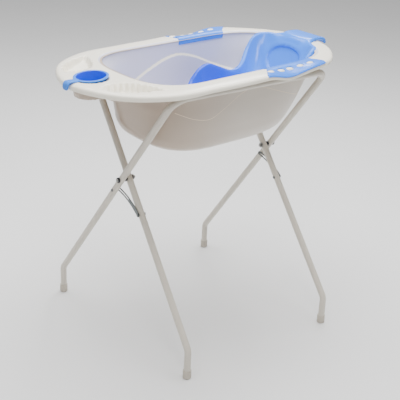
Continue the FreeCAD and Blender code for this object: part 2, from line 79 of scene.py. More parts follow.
# Foot shelf
CUP_X = -0.397
WELL_R = 0.048
WELL_DEPTH = 0.047
DISH_TIP = (-0.430, 0.098)
DISH_TURN = math.radians(38.6)
DISH_LENGTH = 0.190
DISH_DEPTH = 0.026

# Grips
# Ends of the near and far grips along the rim: (at the outer edge, at the inner edge).
GRIP_FOOT_END = {-1: (0.056, 0.062), 1: (0.078, 0.046)}
GRIP_HEAD_END = {-1: (0.308, 0.304), 1: (0.324, 0.288)}
GRIP_THICK = 0.003
GRIP_STEPS = 130        # samples along a grip
HOLE_GAP = 0.0006       # between a boss and its hole
BOSS_X = (0.087, 0.131, 0.168, 0.212, 0.254)
BOSS_Y = 0.247
BOSS_LONG = 0.0135
BOSS_SHORT = 0.0092
BOSS_HEIGHT = 0.0058
BOSS_SUNK = 0.001       # how far a boss starts below the rim's face


def on_stand(points):
    """Level tub coordinates to the place where the tub rests on the stand."""
    x, y, z = np.moveaxis(np.asarray(points, float), -1, 0)
    turned_x = x * math.cos(TILT) - z * math.sin(TILT) + TUB_X
    turned_z = x * math.sin(TILT) + z * math.cos(TILT) + RIM_Z
    return np.stack((turned_x, y, turned_z), axis=-1)


def smooth_step(value, low, high):
    """0 below low, 1 above high, and a smooth rise between."""
    t = np.clip((np.asarray(value, float) - low) / (high - low), 0, 1)
    return t * t * (3 - 2 * t)


def spline(keys, places, values):
    """Smooth curve through keys at the given places; values may have several columns."""
    keys = np.asarray(keys, float)
    values = np.asarray(values, float)
    slopes = np.gradient(values, keys, axis=0)
    index = np.clip(np.searchsorted(keys, places) - 1, 0, len(keys) - 2)
    step = keys[index + 1] - keys[index]
    t = np.clip((places - keys[index]) / step, 0, 1)
    if values.ndim > 1:
        t = t[..., None]
        step = step[..., None]
    a = (1 + 2 * t) * (1 - t) ** 2
    b = t * (1 - t) ** 2 * step
    c = t * t * (3 - 2 * t)
    d = t * t * (t - 1) * step
    return a * values[index] + b * slopes[index] + c * values[index + 1] + d * slopes[index + 1]


def run_along(points):
    """Length of the polyline up to each of its points."""
    return np.concatenate(([0], np.cumsum(np.linalg.norm(np.diff(points, axis=0), axis=1))))


def half_outline(points, count):
    """Evenly spaced points along a half outline; its ends cross the middle line squarely."""
    first = np.asarray(points, float) * MM
    lead = [(x, -y) for x, y in first[2:0:-1]]
    tail = [(x, -y) for x, y in first[-2:-4:-1]]
    full = np.array(lead + [tuple(p) for p in first] + tail)
    chord = run_along(full)
    start = chord[2]
    end = chord[2 + len(first) - 1]
    fine = spline(chord, np.linspace(start, end, 1200), full)
    return even(fine, count)


def even(points, count):
    """Resample a polyline at even spacing."""
    run = run_along(points)
    places = np.linspace(0, run[-1], count)
    return np.stack([np.interp(places, run, points[:, k]) for k in range(points.shape[1])], axis=1)


def basin_half(level, count):
    """Half outline of the basin at one level, rounded at both ends."""
    depth, foot, head, half = level
    share = depth * MM / FLOOR_DEPTH
    power = BASIN_POWER[0] + (BASIN_POWER[1] - BASIN_POWER[0]) * share
    round_foot = foot + half * (FOOT_ROUND[0] + (FOOT_ROUND[1] - FOOT_ROUND[0]) * share)
    round_head = head - half * (HEAD_ROUND[0] + (HEAD_ROUND[1] - HEAD_ROUND[0]) * share)
    turn = np.linspace(0, math.pi, 1200)
    wide = half * np.abs(np.sin(turn)) ** (2 / power)
    along = np.abs(np.cos(turn)) ** (2 / power)
    foot_x = round_foot - (round_foot - foot) * along
    head_x = round_head + (head - round_head) * along
    x = np.where(turn < math.pi / 2, foot_x, head_x)
    return even(np.stack((x, wide), axis=1) * MM, count)


RIM = half_outline(RIM_OUTLINE, COLUMNS)
LEVELS = [basin_half(level, COLUMNS) for level in BASIN_LEVELS]
MOUTH = LEVELS[0]


def whole(half, z):
    """Closed loop of 3-D points from a half outline."""
    z = np.broadcast_to(z, len(half))
    far = np.column_stack((half, z))
    near = far[-2:0:-1] * (1, -1, 1)
    return np.concatenate((far, near))


def moved_in(half, distance):
    """Half outline moved inwards by a distance (outwards when negative)."""
    along = np.gradient(half, axis=0)
    along[0] = (0, 1)
    along[-1] = (0, -1)
    along /= np.linalg.norm(along, axis=1)[:, None]
    inward = np.column_stack((along[:, 1], -along[:, 0]))
    return half + inward * distance


def rim_dip(x):
    """How far the rim's outer edge dips and rises along the grips."""
    dip = -0.012 * np.exp(-((x - 0.150) / 0.062) ** 2)
    crest = 0.003 * np.exp(-((x - 0.070) / 0.035) ** 2)
    rise = 0.004 * np.exp(-((x - 0.290) / 0.060) ** 2)
    return dip + crest + rise


def dish_place(x, y):
    """Place inside a soap dish as (along, across), from its outer tip."""
    dx = x - DISH_TIP[0]
    dy = np.abs(y) - DISH_TIP[1]
    along = dx * math.cos(DISH_TURN) + dy * math.sin(DISH_TURN)
    across = dx * math.sin(DISH_TURN) - dy * math.cos(DISH_TURN)
    return along, across


def dish_depth(x, y, spread):
    """Depth of the fish-shaped soap dishes with fluted and scalloped sides."""
    along, across = dish_place(x, y)
    t = np.clip(along / DISH_LENGTH, 0, 1)
    upper = 0.060 * np.sin(math.pi * t ** 0.75) ** 0.9
    lower = 0.036 * np.sin(math.pi * t ** 0.85)
    flutes = 0.0042 * np.cos(along * 2 * math.pi / 0.017)
    scallops = 0.0060 * np.abs(np.sin(along * math.pi / 0.034))
    inside = np.where(across > 0, upper - across + flutes, lower + across - scallops)
    inside = np.where((along > 0) & (along < DISH_LENGTH), inside, -0.01)
    tail = 1 - 0.6 * smooth_step(t, 0.55, 1.0)
    return DISH_DEPTH * tail * smooth_step(inside + spread, 0.0, 0.010)


def shelf_depth(x, y, spread=0.0):
    """Depth of the cup well and the soap dishes below the rim's face."""
    reach = np.hypot(x - CUP_X, y)
    well = WELL_DEPTH * (1 - smooth_step(reach, WELL_R + spread, WELL_R + spread + 0.004))
    return np.maximum(well, dish_depth(x, y, spread))


def rim_face(points, inward):
    """Height of the rim's upper face, a distance inward from its edge: crowned, waved at the grips."""
    fall = -0.0035 * (1 - np.clip(inward / 0.05, 0, 1)) ** 2
    sway = rim_dip(points[:, 0]) * (1 - smooth_step(inward, 0.0, 0.055))
    return fall + sway


def wave_depth(x):
    """Depth of the raised wall line at x."""
    keys, depths = np.array(WAVE, float).T * MM
    return spline(keys, x, depths)


def outer_line_depth(x):
    """Depth of the fine line on the outside of the wall at x."""
    keys, depths = np.array(OUTER_LINE, float).T * MM
    return spline(keys, x, depths)


def ledge_shift(points):
    """How far the wall steps in below the raised line."""
    x, y, z = points.T
    line = -wave_depth(x)
    ends = smooth_step(x, -0.235, -0.165) * (1 - smooth_step(x, 0.300, 0.385))
    on_side = ends * smooth_step(np.abs(y), 0.085, 0.120)
    return LEDGE * (1 - smooth_step(z, line - LEDGE_HEIGHT, line)) * on_side


def wall_rows(grow, count, outside):
    """Rows of the basin wall, from under the mouth to the floor's rounding."""
    depths = np.array([INNER_ROLL] + [level[0] * MM for level in BASIN_LEVELS[1:]])
    stack = np.stack([moved_in(shape, -grow) for shape in LEVELS])
    rows = []
    fine = 1 - (1 - np.linspace(0, 1, count)) ** 1.15
    for depth in depths[0] + (depths[-1] - depths[0]) * fine:
        half = spline(depths, np.full(1, depth), stack.reshape(len(depths), -1))[0].reshape(-1, 2)
        loop = whole(half, -depth - (grow if outside else 0) * smooth_step(depth, 0.1, depths[-1]))
        if not outside:
            loop[:, 1] -= np.sign(loop[:, 1]) * ledge_shift(loop)
        rows.append(loop)
    return rows


def floor_rows(last, depth, count):
    """Rows that round off into the floor and close at its middle."""
    middle = np.array((np.mean(last[:, 0]), 0.0))
    drop = -depth - last[0, 2]
    rows = []
    for t in np.linspace(0, 1, count + 1)[1:]:
        shrink = 1 - t ** 1.2 * 0.999
        row = last.copy()
        row[:, :2] = middle + (last[:, :2] - middle) * shrink
        row[:, 2] += drop * math.sin(min(1.0, t * 7) * math.pi / 2)
        rows.append(row)
    return rows


def rim_rows(under):
    """Rows across the rim from its outer shoulder to the mouth."""
    width = np.linalg.norm(RIM - MOUTH, axis=1)
    rows = []
    start = WALL if under else SHOULDER
    inner = -WALL if under else INNER_ROLL
    outer_half = moved_in(RIM, start)
    inner_half = moved_in(MOUTH, -inner)
    for t in np.linspace(0, 1, RIM_ROWS):
        half = outer_half * (1 - t) + inner_half * t
        inward = start + (width - start - inner) * t
        z = rim_face(half, inward)
        z = z - shelf_depth(half[:, 0], half[:, 1], WALL if under else 0.0)
        rows.append(whole(half, z - (WALL if under else 0)))
    return rows


def lip_bottom():
    """Height of the hanging lip's lower edge: deeper at the foot end, dipping at the grips."""
    x = RIM[:, 0]
    return -SKIRT - 0.004 * (1 - smooth_step(x, -0.30, -0.15)) + 0.9 * rim_dip(x)


def shoulder_rows():
    """Rows up the hanging lip and over the rim's rounded outer edge."""
    rows = []
    edge = rim_face(RIM, np.zeros(len(RIM)))
    low = lip_bottom()
    for height in (0, 0.1, 1):
        rows.append(whole(RIM, low + (edge - SHOULDER - 0.0005 - low) * height))
    for turn in np.linspace(0, math.pi / 2, 7)[:-1]:
        half = moved_in(RIM, SHOULDER * (1 - math.cos(turn)))
        rows.append(whole(half, edge - SHOULDER * (1 - math.sin(turn))))
    return rows


def roll_rows():
    """Rows from the rim's face over the rounded edge into the basin."""
    rows = []
    for turn in np.linspace(0, math.pi / 2, 7)[1:-1]:
        half = moved_in(MOUTH, -INNER_ROLL * (1 - math.sin(turn)))
        rows.append(whole(half, -INNER_ROLL * (1 - math.cos(turn))))
    return rows


def under_rows():
    """Rows of the tub's underside, from the floor back out to the hanging lip."""
    wall = wall_rows(WALL, WALL_ROWS // 2, True)
    floor = floor_rows(wall[-1], FLOOR_DEPTH + WALL, 12)
    rim = rim_rows(True)
    edge = rim_face(RIM, np.zeros(len(RIM)))
    low = lip_bottom()
    lip = [whole(moved_in(RIM, 0.003), low + rise) for rise in (0.006, 0.0008)]
    return floor[::-1] + wall[::-1] + rim[::-1] + lip


def surface(name, rows, closed_rows):
    """Mesh object from rows of points; every row is a closed loop."""
    rows = np.asarray(rows)
    count, columns = rows.shape[:2]
    vertices = rows.reshape(-1, 3)
    faces = []
    last = count if closed_rows else count - 1
    for r in range(last):
        below = (r + 1) % count
        for c in range(columns):
            right = (c + 1) % columns
            faces.append((r * columns + c, r * columns + right, below * columns + right, below * columns + c))
    return mesh_object(name, vertices, faces)


def mesh_object(name, vertices, faces):
    """Smooth-shaded mesh object."""
    mesh = bpy.data.meshes.new(name)
    mesh.from_pydata([tuple(v) for v in vertices], [], faces)
    mesh.validate()
    mesh.polygons.foreach_set("use_smooth", [True] * len(mesh.polygons))
    mesh.update()
    piece = bpy.data.objects.new(name, mesh)
    bpy.context.scene.collection.objects.link(piece)
    return piece


def sheet_surface(name, rows):
    """Mesh object from open rows of points."""
    rows = np.asarray(rows)
    count, columns = rows.shape[:2]
    faces = []
    for r in range(count - 1):
        for c in range(columns - 1):
            a = r * columns + c
            faces.append((a, a + 1, a + columns + 1, a + columns))
    return mesh_object(name, rows.reshape(-1, 3), faces)


def apply_modifiers(piece):
    """Replace the piece's mesh by what its modifiers make."""
    graph = bpy.context.evaluated_depsgraph_get()
    made = bpy.data.meshes.new_from_object(piece.evaluated_get(graph))
    piece.modifiers.clear()
    piece.data = made
    made.polygons.foreach_set("use_smooth", [True] * len(made.polygons))


def thicken(piece, thickness):
    """Give an open surface its thickness, behind it, with rounded edges."""
    solid = piece.modifiers.new("thickness", "SOLIDIFY")
    solid.thickness = thickness
    solid.offset = -1.0
    solid.use_even_offset = True
    round_edges(piece, thickness * 0.3)
    apply_modifiers(piece)


def round_edges(piece, width):
    """Bevel the sharp edges."""
    bevel = piece.modifiers.new("edges", "BEVEL")
    bevel.width = width
    bevel.segments = 2
    bevel.limit_method = "ANGLE"
    bevel.angle_limit = math.radians(50)


def make_tub():
    """Moulded tub as one closed skin: inside, rim, lip and underside."""
    inside = wall_rows(0, WALL_ROWS, False)
    floor = floor_rows(inside[-1], FLOOR_DEPTH, 14)
    rim = shoulder_rows() + rim_rows(False)
    basin = roll_rows() + inside + floor
    rows = rim + basin + under_rows()
    tub = surface("tub", [on_stand(row) for row in rows], True)
    return tub, len(rim), len(rim) + len(basin)


def shade_zones(tub, first_inside, first_under, inside, under):
    """Materials of the basin's inside and of the tub's underside, both painted shade: a darker, bluish copy
    inside that also paints the seat's blue reflection, and a darker, warmer one below.
    """
    around = 2 * COLUMNS - 2
    tub.data.materials.append(inside)
    tub.data.materials.append(under)
    for face in tub.data.polygons:
        row = face.index // around
        if row >= first_under:
            face.material_index = 2
        # faces on the raised line's sloping face keep the rim's lighter colour: a painted highlight where the
        # ledge catches the light
        elif row >= first_inside and not on_ledge(face.center):
            face.material_index = 1


def on_ledge(place):
    """Whether a place of the wall lies on the raised line's sloping face."""
    dx, dz = place.x - TUB_X, place.z - RIM_Z
    x = dx * math.cos(TILT) + dz * math.sin(TILT)
    z = dz * math.cos(TILT) - dx * math.sin(TILT)
    below = -z - float(wave_depth(np.full(1, x))[0])
    return -0.20 < x < 0.33 and abs(place.y) > 0.11 and 0 < below < LEDGE_HEIGHT


def columns_between(rows, first_ends, last_ends, count):
    """Far-side part of the tub's skin between two slanting lines across the rim, resampled."""
    rows = np.asarray(rows)[:, :COLUMNS]
    part = []
    for share, row in zip(np.linspace(0, 1, len(rows)), rows):
        first = first_ends[0] + (first_ends[1] - first_ends[0]) * share
        last = last_ends[0] + (last_ends[1] - last_ends[0]) * share
        ends = np.interp((first, last), RIM[:, 0], np.arange(COLUMNS))
        places = np.linspace(ends[0], ends[1], count)
        part.append(np.stack([np.interp(places, np.arange(COLUMNS), row[:, k]) for k in range(3)], axis=1))
    return np.array(part)


def mirrored(points, side):
    """Copy of level points on the near side (side -1) or the far side (side 1)."""
    return np.asarray(points) * (1, side, 1)


def face_height(x, y):
    """Height of the rim's upper face at a place."""
    inward = np.min(np.hypot(RIM[:, 0] - x, RIM[:, 1] - abs(y)))
    return float(rim_face(np.array([(x, y)]), np.array([inward]))[0])


def make_bosses(side):
    """Moulded domes of the rim that stand through the grip's holes."""
    vertices = []
    faces = []
    around = 40
    rings = 8
    for x in BOSS_X:
        base = len(vertices)
        z = face_height(x, BOSS_Y)
        for turn in np.linspace(0, math.pi / 2, rings):
            for k in range(around):
                angle = k * 2 * math.pi / around
                reach = math.cos(turn) ** 0.7
                dx = BOSS_LONG * reach * math.cos(angle)
                dy = BOSS_SHORT * reach * math.sin(angle)
                rise = BOSS_HEIGHT * math.sin(turn) - BOSS_SUNK
                vertices.append((x + dx, side * (BOSS_Y + dy), z + rise))
        for ring in range(rings - 1):
            for k in range(around):
                a = base + ring * around + k
                b = base + ring * around + (k + 1) % around
                faces.append((a, b, b + around, a + around))
    return mesh_object(f"rim_bosses_{side_name(side)}", on_stand(vertices), faces)


def make_wall_line(side):
    """Fine moulded line along the outside of a long wall, drawn as a thin ribbon whose tan colour is painted
    shade along the line.
    """
    x = np.linspace(OUTER_LINE[0][0] * MM, OUTER_LINE[-1][0] * MM, LINE_STEPS)
    depth = outer_line_depth(x)
    rows = wall_rows(WALL, WALL_ROWS, True)
    outline = np.array([row[:COLUMNS] for row in rows])
    levels = -outline[:, COLUMNS // 2, 2]
    edges = []
    for shift in (-LINE_HALF, 0.0, LINE_HALF):
        place = np.interp(depth + shift, levels, np.arange(len(levels)))
        points = []
        for where, at in zip(place, x):
            low = int(min(where, len(levels) - 2))
            part = where - low
            ring = outline[low] * (1 - part) + outline[low + 1] * part
            y = np.interp(at, ring[:, 0], ring[:, 1])
            bulge = 0.0005 if shift == 0 else -0.0002
            points.append((at, y + bulge, -(levels[low] * (1 - part) + levels[low + 1] * part)))
        edges.append(points)
    return sheet_surface(f"wall_line_{side_name(side)}", on_stand(mirrored(edges, side)))


def side_name(side):
    return "far" if side > 0 else "near"


def hole_cutter(x, side):
    """Oval column that cuts one hole in a grip."""
    around = 48
    reach = 0.03
    angles = np.linspace(0, 2 * math.pi, around, endpoint=False)
    rings = []
    for z in (-reach, reach):
        ring_x = x + (BOSS_LONG + HOLE_GAP) * np.cos(angles)
        ring_y = side * BOSS_Y + (BOSS_SHORT + HOLE_GAP) * np.sin(angles)
        rings.append(np.column_stack((ring_x, ring_y, np.full(around, z))))
    vertices = on_stand(np.concatenate(rings))
    faces = [(k, (k + 1) % around, around + (k + 1) % around, around + k) for k in range(around)]
    faces.append(tuple(range(around))[::-1])
    faces.append(tuple(range(around, 2 * around)))
    return mesh_object("cutter", vertices, faces)


def make_grip(side):
    """Soft grip wrapped over the rim, with oval holes for the bosses."""
    rows = shoulder_rows()[5:] + rim_rows(False)[::2] + roll_rows() + wall_rows(0, WALL_ROWS, False)[:4]
    sheet = columns_between(rows, GRIP_FOOT_END[side], GRIP_HEAD_END[side], GRIP_STEPS)
    grip = sheet_surface(f"grip_{side_name(side)}_cover", on_stand(mirrored(sheet, side)))
    solid = grip.modifiers.new("thickness", "SOLIDIFY")
    solid.thickness = GRIP_THICK
    solid.offset = -1.0 if side > 0 else 1.0
    apply_modifiers(grip)
    for x in BOSS_X:
        cutter = hole_cutter(x, side)
        cut = grip.modifiers.new("hole", "BOOLEAN")
        cut.operation = "DIFFERENCE"
        cut.solver = "EXACT"
        cut.object = cutter
        apply_modifiers(grip)
        bpy.data.objects.remove(cutter)
    round_edges(grip, GRIP_THICK * 0.3)
    apply_modifiers(grip)
    return grip


# Seat sections: (centre x, centre z, edge x, edge half width, edge z, squareness) in millimetres.
SEAT_SECTIONS = (
    (46, -136, 47, 52, -134, 2.0), (60, -164, 51, 90, -122, 2.2), (92, -194, 90, 98, -86, 2.8),
    (129, -213, 129, 99, -74, 3.2), (172, -220, 172, 93, -89, 3.2), (217, -216, 217, 88, -107, 2.8),
    (262, -198, 262, 92, -102, 2.6), (300, -172, 296, 106, -82, 2.8), (328, -143, 328, 126, -52, 3.0),
    (350, -113, 351, 133, -26, 3.2), (372, -79, 374, 128, -9, 3.4), (391, -47, 399, 113, -4, 3.2),
    (408, -17, 416, 80, -1, 2.6), (424, 3, 434, 62, 4, 2.0), (446, 7.5, 448, 59, 8, 2.0),
    (470, 8, 470, 58, 8, 2.0), (498, 5, 498, 57, 5, 2.0), (510, 0, 510, 57, 0, 2.0),
    (514.5, -8, 514.5, 57, -8, 2.0), (515, -14, 515, 57, -14, 2.0),
)
SEAT_WALL = 0.0035
SEAT_STEPS = 190            # samples along the seat
SEAT_ACROSS = 97            # samples across it
HOOK_FIRST = -6             # section where the hook begins
DISH_CENTRE_X = 0.377       # oval back rest pressed into the seat
DISH_HALF_LONG = 0.054
DISH_HALF_WIDE = 0.076
DISH_PRESS = 0.006
SEAT_ROLL = 0.006


def seat_rows():
    """Dished seat surface with rolled edges, from its front lip to the hook over the rim."""
    table = np.array(SEAT_SECTIONS, float)
    table[:, :5] *= MM
    run = run_along(table[:, [0, 1]])
    places = np.linspace(0, run[-1], SEAT_STEPS)
    table = spline(run, places, table)
    across = np.linspace(-1, 1, SEAT_ACROSS)
    rows = []
    for cx, cz, ex, ey, ez, power in table:
        reach = np.abs(across)
        lift = reach ** power
        x = cx + (ex - cx) * lift
        z = cz + (ez - cz) * lift
        y = ey * np.sign(across) * reach ** 0.92
        rows.append(np.column_stack((x, y, z)))
    rows = pressed_dish(np.array(rows))
    hooked = smooth_step(places, run[HOOK_FIRST] - 0.01, run[HOOK_FIRST] + 0.02)
    return with_rolled_edges(rows, SEAT_ROLL * (1 - 0.6 * hooked))


def grid_normals(rows):
    """Unit normals of a grid of points."""
    normal = np.cross(np.gradient(rows, axis=0), np.gradient(rows, axis=1))
    return normal / np.linalg.norm(normal, axis=2)[..., None]


def pressed_dish(rows):
    """Press the oval back rest into the seat, along the surface's own normal."""
    normal = grid_normals(rows)
    x, y = rows[..., 0], rows[..., 1]
    middle = rows[:, rows.shape[1] // 2]
    run = run_along(middle)
    centre = np.interp(DISH_CENTRE_X, middle[:, 0], run)
    reach = np.hypot((run[:, None] - centre) / DISH_HALF_LONG, y / DISH_HALF_WIDE)
    pressed = DISH_PRESS * (1 - smooth_step(reach, 0.93, 1.0))
    swell = DISH_PRESS * 0.2 * np.exp(-((reach - 1.10) / 0.12) ** 2)
    return rows + normal * (swell - pressed)[..., None]


def with_rolled_edges(rows, radius):
    """Add a rounded bead along both long edges, turning outwards and down."""
    steps = np.linspace(0, math.pi * 0.95, 9)[1:]
    added = []
    normals = grid_normals(rows)
    for end, inner in ((0, 3), (-1, -4)):
        edge = rows[:, end]
        out = edge - rows[:, inner]
        out /= np.linalg.norm(out, axis=1)[:, None]
        turn_to = -normals[:, inner]
        turn_to -= out * np.sum(turn_to * out, axis=1)[:, None]
        turn_to /= np.linalg.norm(turn_to, axis=1)[:, None]
        r = radius[:, None]
        bead = [edge + turn_to * r * (1 - math.cos(s)) + out * r * math.sin(s) for s in steps]
        added.append(bead)
    left = np.stack(added[0][::-1], axis=1)
    right = np.stack(added[1], axis=1)
    return np.concatenate((left, rows, right), axis=1)


def make_seat():
    """Moulded bath seat."""
    piece = sheet_surface("seat", on_stand(seat_rows()))
    thicken(piece, SEAT_WALL)
    return piece


def lathe(name, profile, centre, segments=96):
    """Closed profile of (radius, z) turned round an upright axis of the level tub."""
    rows = []
    angles = np.linspace(0, 2 * math.pi, segments, endpoint=False)
    for radius, z in profile:
        ring_x = centre[0] + radius * np.cos(angles)
        ring_y = centre[1] + radius * np.sin(angles)
        rows.append(on_stand(np.column_stack((ring_x, ring_y, np.full(segments, z)))))
    return surface(name, rows, True)


CUP_R = 0.046
CUP_FOOT_R = 0.039
CUP_DEPTH = 0.045
CUP_WALL = 0.0025
CUP_RIM = 0.007
CUP_LIP = 0.0018        # rounding of the rim's edge
CUP_FOOT_ROUND = 0.004
CUP_LEAN = math.radians(4.0)


def foot_round(radius, bottom, turns):
    """Points round the cup's bottom edge."""
    r = CUP_FOOT_ROUND
    return [(radius - r * (1 - math.sin(turn)), bottom + r * (1 - math.cos(turn))) for turn in turns]


def make_cup():
    """Cup with a flat rounded rim."""
    centre_gap = 0.001
    lip_centre = CUP_R + CUP_RIM - CUP_LIP
    profile = [(centre_gap, -CUP_DEPTH), (CUP_FOOT_R - CUP_FOOT_ROUND, -CUP_DEPTH)]
    profile += foot_round(CUP_FOOT_R, -CUP_DEPTH, np.linspace(0.3, math.pi / 2, 5))
    profile += [(CUP_R - 0.0004, -0.002)]
    for turn in np.linspace(0, math.pi, 9):
        profile += [(lip_centre + CUP_LIP * math.sin(turn), 0.0022 - CUP_LIP * math.cos(turn))]
    profile += [(CUP_R - CUP_WALL + 0.0015, 0.004), (CUP_R - CUP_WALL, 0.002)]
    profile += foot_round(CUP_FOOT_R - CUP_WALL, -CUP_DEPTH + CUP_WALL, np.linspace(math.pi / 2, 0, 6))
    profile += [(centre_gap, -CUP_DEPTH + CUP_WALL)]
    cup = lathe("cup", profile, (CUP_X, 0))
    tip_back(cup)
    return cup


def tip_back(piece):
    """Lean a cup piece slightly, as its handle hangs on the tub's edge."""
    hinge = Matrix.Translation(on_stand([(CUP_X - CUP_R, 0, 0.0005)])[0])
    lean = Matrix.Rotation(-CUP_LEAN, 4, "Y")
    piece.data.transform(hinge @ lean @ hinge.inverted())


# Cup handle: (x, z) of its top face in millimetres, from the cup's rim over the tub's edge.
HANDLE_PATH = ((-440, 3.5), (-452, 4), (-468, 6), (-477, 6), (-483, 2), (-486, -4), (-487.5, -11),
               (-488, -18))
HANDLE_HALF = 0.014
HANDLE_THICK = 0.0035
HANDLE_STEPS = 50
HANDLE_ACROSS = 15
HANDLE_ROUND_FROM = 43      # step where the rounded end begins
HANDLE_ROUND = 6.2          # its length in steps


def make_handle():
    """Strap handle that hooks over the tub's foot end."""
    keys = np.array(HANDLE_PATH, float) * MM
    run = run_along(keys)
    path = spline(run, np.linspace(0, run[-1], HANDLE_STEPS), keys)
    across = np.linspace(-1, 1, HANDLE_ACROSS)
    rows = []
    for step, (x, z) in enumerate(path):
        tip = math.sqrt(max(0.0, 1 - max(0.0, (step - HANDLE_ROUND_FROM) / HANDLE_ROUND) ** 2))
        y = across * HANDLE_HALF * max(tip, 0.35)
        rows.append(np.column_stack((np.full(HANDLE_ACROSS, x), y, z - 0.001 * across ** 2)))
    piece = sheet_surface("cup_strap", on_stand(rows))
    thicken(piece, HANDLE_THICK)
    tip_back(piece)
    return piece


def new_material(name):
    """New node material with its nodes, links and shader."""
    material = bpy.data.materials.new(name)
    material.use_nodes = True
    nodes = material.node_tree.nodes
    return material, nodes, material.node_tree.links, nodes["Principled BSDF"]


def srgb(red, green, blue):
    """Display colour (0-255) to the shader's linear colour."""
    values = np.array((red, green, blue)) / 255
    linear = np.where(values <= 0.04045, values / 12.92, ((values + 0.055) / 1.055) ** 2.4)
    return (*linear, 1.0)


def finish_material(name, colour, other, scale, roughness, bump, metallic=0.0, coat=0.0):
    """Moulded or coated surface: drifting colour, uneven gloss and a fine grain."""
    material, nodes, links, shader = new_material(name)
    place = nodes.new("ShaderNodeTexCoord")
    drift = nodes.new("ShaderNodeTexNoise")
    drift.inputs["Scale"].default_value = scale
    drift.inputs["Detail"].default_value = 4
    links.new(place.outputs["Object"], drift.inputs["Vector"])
    mix = nodes.new("ShaderNodeMix")
    mix.data_type = "RGBA"
    mix.inputs["A"].default_value = colour
    mix.inputs["B"].default_value = other
    links.new(drift.outputs["Fac"], mix.inputs["Factor"])
    links.new(mix.outputs["Result"], shader.inputs["Base Color"])
    gloss = nodes.new("ShaderNodeMapRange")
    gloss.inputs["To Min"].default_value = roughness[0]
    gloss.inputs["To Max"].default_value = roughness[1]
    links.new(drift.outputs["Fac"], gloss.inputs["Value"])
    links.new(gloss.outputs["Result"], shader.inputs["Roughness"])
    grain = nodes.new("ShaderNodeTexNoise")
    grain.inputs["Scale"].default_value = bump[0]
    grain.inputs["Detail"].default_value = 3
    links.new(place.outputs["Object"], grain.inputs["Vector"])
    relief = nodes.new("ShaderNodeBump")
    relief.inputs["Strength"].default_value = bump[1]
    relief.inputs["Distance"].default_value = 0.0006
    links.new(grain.outputs["Fac"], relief.inputs["Height"])
    links.new(relief.outputs["Normal"], shader.inputs["Normal"])
    shader.inputs["Metallic"].default_value = metallic
    shader.inputs["Coat Weight"].default_value = coat
    shader.inputs["Coat Roughness"].default_value = 0.08
    return material


def tub_plastic():
    colours = (srgb(252, 247, 233), srgb(248, 242, 226))
    return finish_material("tub_plastic", *colours, 6, (0.22, 0.30), (90, 0.05))


def tub_inside_shade_and_reflection():
    # Painted shade and painted blue reflection of the seat: a darker, bluish copy of the tub's plastic for
    # the basin's inside.
    colours = (srgb(223, 222, 236), srgb(217, 216, 230))
    return finish_material("tub_inside_shade_and_reflection", *colours, 6, (0.20, 0.28), (90, 0.05))


def tub_outside_shade():
    """Painted shade on the outside of the walls and the underside: darker and warmer than the rim, and darker
    still towards the foot end.
    """
    colours = (srgb(215, 207, 196), srgb(208, 199, 188))
    material = finish_material("tub_outside_shade", *colours, 6, (0.26, 0.36), (90, 0.05))
    # painted shade: the foot end fades to a darker tan
    fade_along_x(material, (-0.30, 0.05), srgb(184, 166, 148))
    return material


def fade_along_x(material, span, colour):
    """Blend the base colour into another one below the span in x."""
    nodes, links = material.node_tree.nodes, material.node_tree.links
    shader = nodes["Principled BSDF"]
    base = shader.inputs["Base Color"].links[0].from_socket
    place = nodes.new("ShaderNodeTexCoord")
    parts = nodes.new("ShaderNodeSeparateXYZ")
    links.new(place.outputs["Object"], parts.inputs["Vector"])
    share = nodes.new("ShaderNodeMapRange")
    share.interpolation_type = "SMOOTHSTEP"
    share.inputs["From Min"].default_value = span[0]
    share.inputs["From Max"].default_value = span[1]
    links.new(parts.outputs["X"], share.inputs["Value"])
    mix = nodes.new("ShaderNodeMix")
    mix.data_type = "RGBA"
    mix.inputs["A"].default_value = colour
    links.new(share.outputs["Result"], mix.inputs["Factor"])
    links.new(base, mix.inputs["B"])
    links.new(mix.outputs["Result"], shader.inputs["Base Color"])


def seat_plastic():
    """Blue with painted shade: deepest towards the front, where the hollows for the legs lie in shade."""
    material = blue_plastic("seat_plastic", srgb(58, 136, 248), srgb(50, 128, 244))
    # painted shade in the leg hollows, front of x = 0.14
    fade_along_x(material, (0.14, 0.30), srgb(20, 76, 226))
    return material


def line_shade():
    # painted shade: tan colour of the fine line on the outer wall
    colours = (srgb(240, 226, 204), srgb(234, 219, 196))
    return finish_material("wall_line", *colours, 6, (0.30, 0.40), (90, 0.05))


def blue_plastic(name, colour, other):
    """Glossy blue plastic with a weak white sheen."""
    material = finish_material(name, colour, other, 9, (0.16, 0.24), (120, 0.05), coat=0.06)
    material.node_tree.nodes["Principled BSDF"].inputs["Specular IOR Level"].default_value = 0.3
    return material


def frame_paint():
    colours = (srgb(212, 205, 192), srgb(202, 195, 182))
    return finish_material("frame_paint", *colours, 14, (0.28, 0.40), (420, 0.10), coat=0.2)


def cap_rubber():
    colours = (srgb(196, 188, 174), srgb(184, 176, 162))
    return finish_material("cap_rubber", *colours, 40, (0.50, 0.65), (500, 0.25))


def stay_steel():
    colours = (srgb(112, 116, 116), srgb(90, 94, 94))
    return finish_material("stay_steel", *colours, 60, (0.30, 0.45), (600, 0.15), metallic=0.8)


def bolt_steel():
    colours = (srgb(168, 168, 165), srgb(140, 140, 138))
    return finish_material("bolt_steel", *colours, 80, (0.25, 0.40), (700, 0.15), metallic=0.9)


def ring_plastic():
    colours = (srgb(60, 62, 66), srgb(48, 50, 54))
    return finish_material("ring_plastic", *colours, 60, (0.40, 0.55), (600, 0.15))


def drain_plastic():
    colours = (srgb(225, 223, 217), srgb(214, 212, 206))
    return finish_material("drain_plastic", *colours, 40, (0.30, 0.40), (400, 0.10))


def seal_rubber():
    colours = (srgb(70, 70, 72), srgb(58, 58, 60))
    return finish_material("seal_rubber", *colours, 50, (0.55, 0.70), (500, 0.30))


